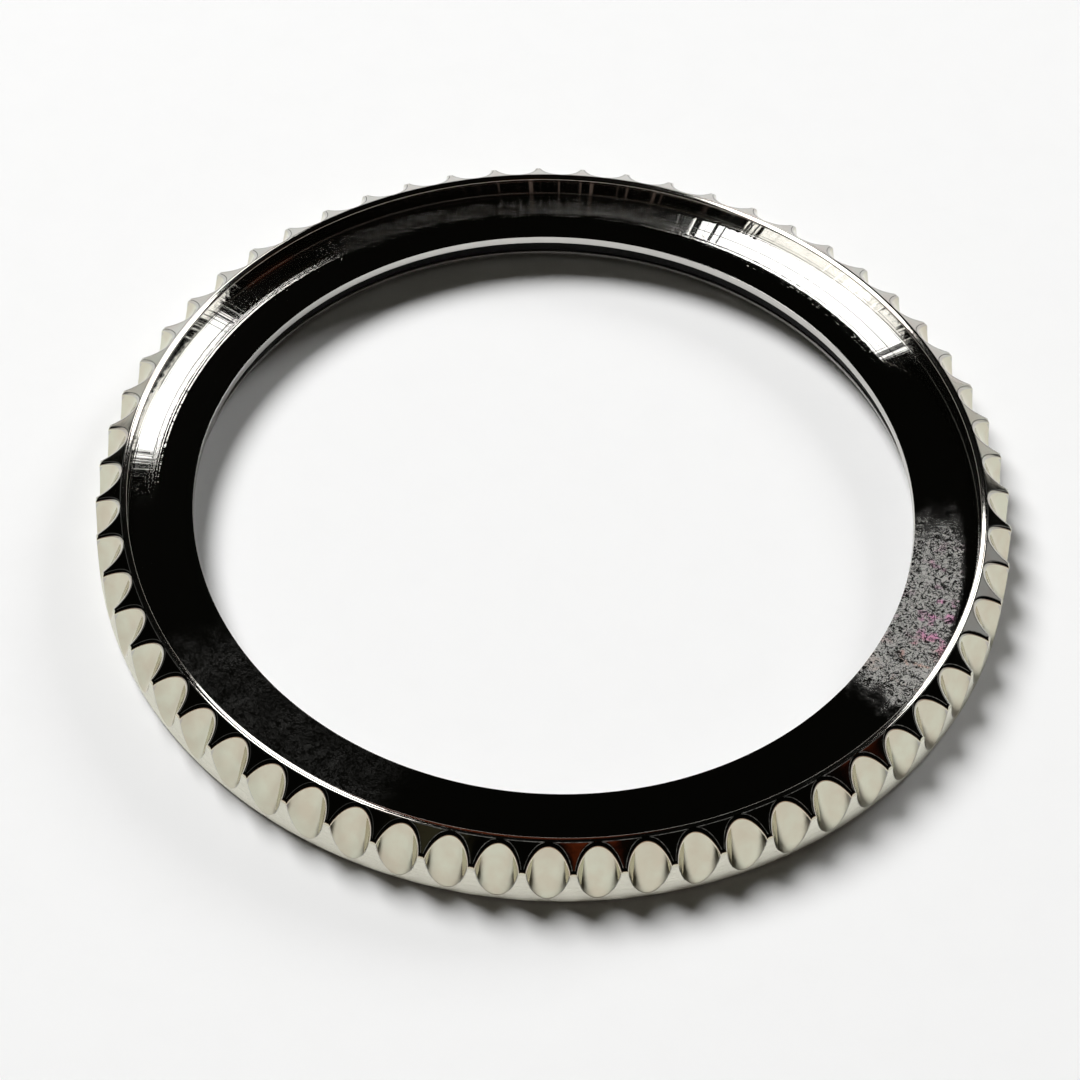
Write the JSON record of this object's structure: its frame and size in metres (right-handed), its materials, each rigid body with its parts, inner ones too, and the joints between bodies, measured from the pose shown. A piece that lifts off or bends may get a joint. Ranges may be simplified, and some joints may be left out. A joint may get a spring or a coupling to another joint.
{
  "type": "rotating watch bezel",
  "caption": "Rotating dive-watch bezel: a steel ring with a scalloped edge and an open insert recess, with gasket, ratchet ring and click spring.",
  "frame": {"origin": "on the axis of rotation, in the plane of the watch case's shoulder, where the click spring lies", "axes": "+Z along the axis of rotation, out through the watch glass; a scallop is centred on +X, and so is the tip of one pawl"},
  "size_m": [0.041, 0.041, 0.0028],
  "materials": {
    "polished_steel": "mirror polished, with a finely turned recess",
    "machined_steel": "milled",
    "black_rubber": "matte",
    "spring_steel": "stamped sheet with a fine grain"
  },
  "bodies": {
    "case_side": {"click_spring": "spring_steel"},
    "bezel": {"bezel_ring": "polished_steel", "ratchet_ring": "machined_steel", "bezel_gasket": "black_rubber"}
  },
  "joints": [
    {"name": "bezel_turn", "type": "hinge", "parent": "case_side", "child": "bezel", "pos_m": [0, 0, 0], "axis": [0, 0, 1], "continuous": true}
  ]
}
